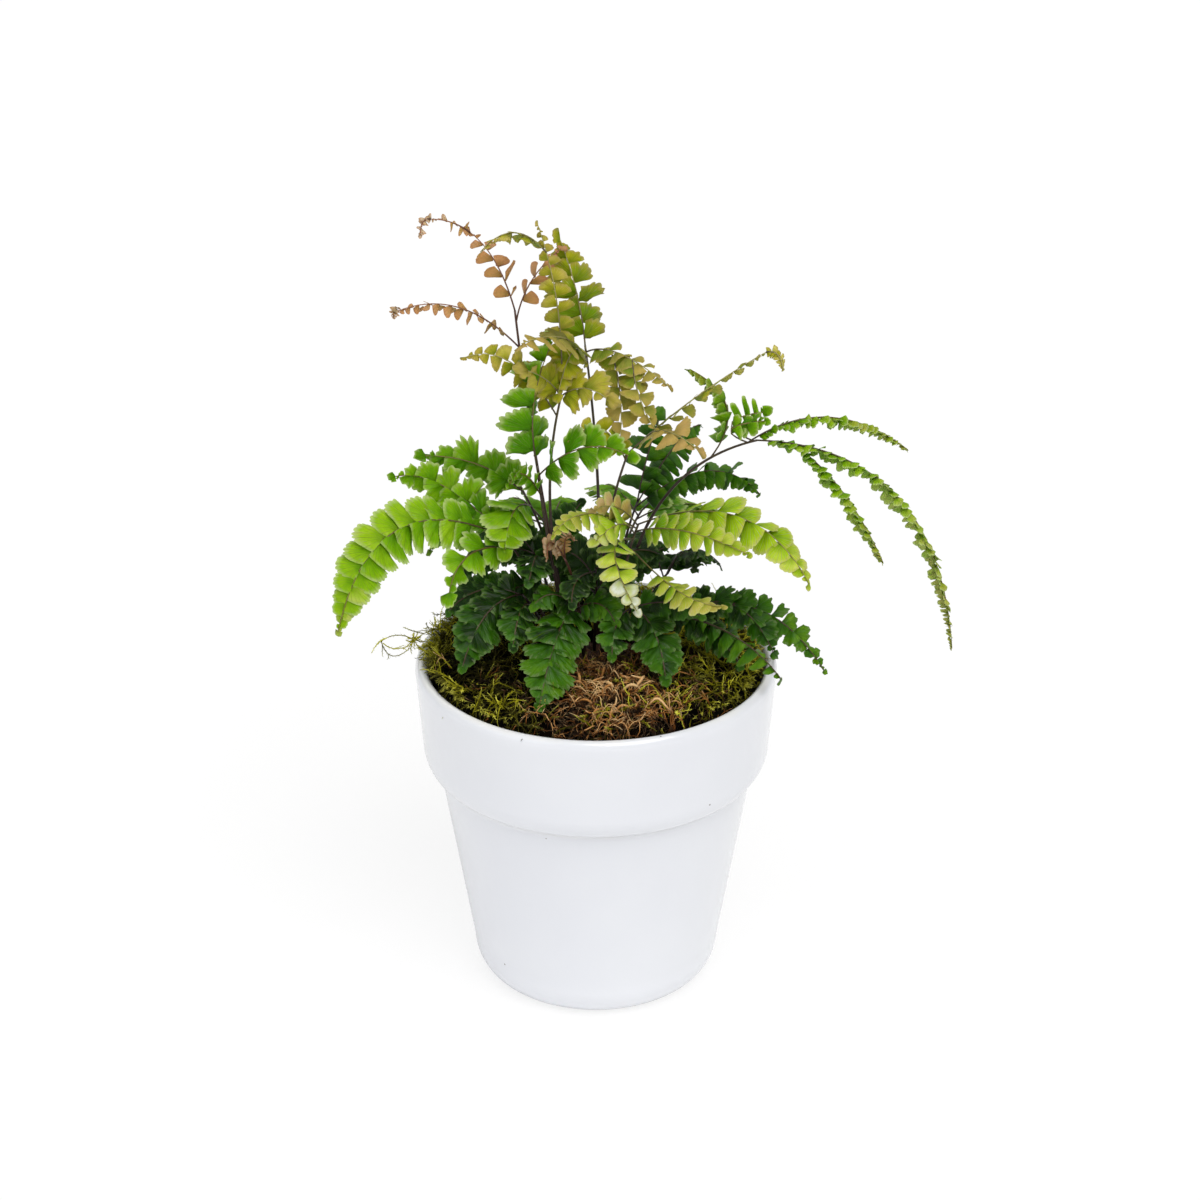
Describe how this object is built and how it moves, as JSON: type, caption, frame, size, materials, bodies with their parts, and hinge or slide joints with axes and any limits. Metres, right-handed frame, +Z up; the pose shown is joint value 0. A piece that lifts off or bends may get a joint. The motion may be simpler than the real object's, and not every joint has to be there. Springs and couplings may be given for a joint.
{
  "type": "potted fern",
  "caption": "Maidenhair fern with wiry stalks, forked pinnae and toothed leaflets, in a banded white glazed flower pot dressed with moss.",
  "frame": {"origin": "centre of the pot's foot, on the surface that the pot stands on", "axes": "+Z up; the picture's viewer stands on the -Y side, with +X to the right"},
  "size_m": [0.2379, 0.1543, 0.3152],
  "materials": {
    "white_glaze": "gloss",
    "soil": "matte",
    "root": "matte",
    "moss": "matte",
    "dry_moss": "matte",
    "rosy_leaf": "satin",
    "gold_leaf": "satin",
    "lime_leaf": "satin",
    "green_leaf": "satin",
    "deep_leaf": "satin"
  },
  "bodies": {
    "root": {"pot": "white_glaze", "potting_soil": "soil", "rootstock": "root", "moss_green": "moss", "moss_dry": "dry_moss", "frond_rosy_tall": "rosy_leaf", "frond_gold_tall": "gold_leaf", "frond_green_inner": "green_leaf", "frond_bronze_tall": "gold_leaf", "frond_forked": "gold_leaf", "frond_arching_right": "green_leaf", "frond_shaded_back": "deep_leaf", "frond_lime_right": "lime_leaf", "frond_young_coil": "rosy_leaf", "frond_front": "deep_leaf", "frond_front_left": "deep_leaf", "frond_front_right": "deep_leaf", "frond_low_right": "deep_leaf", "frond_low_back_right": "deep_leaf", "frond_low_inner": "deep_leaf", "frond_low_centre": "deep_leaf", "frond_bright_left": "green_leaf", "frond_bright_inner": "green_leaf", "frond_back_left": "green_leaf", "frond_back_right": "green_leaf"}
  },
  "joints": []
}
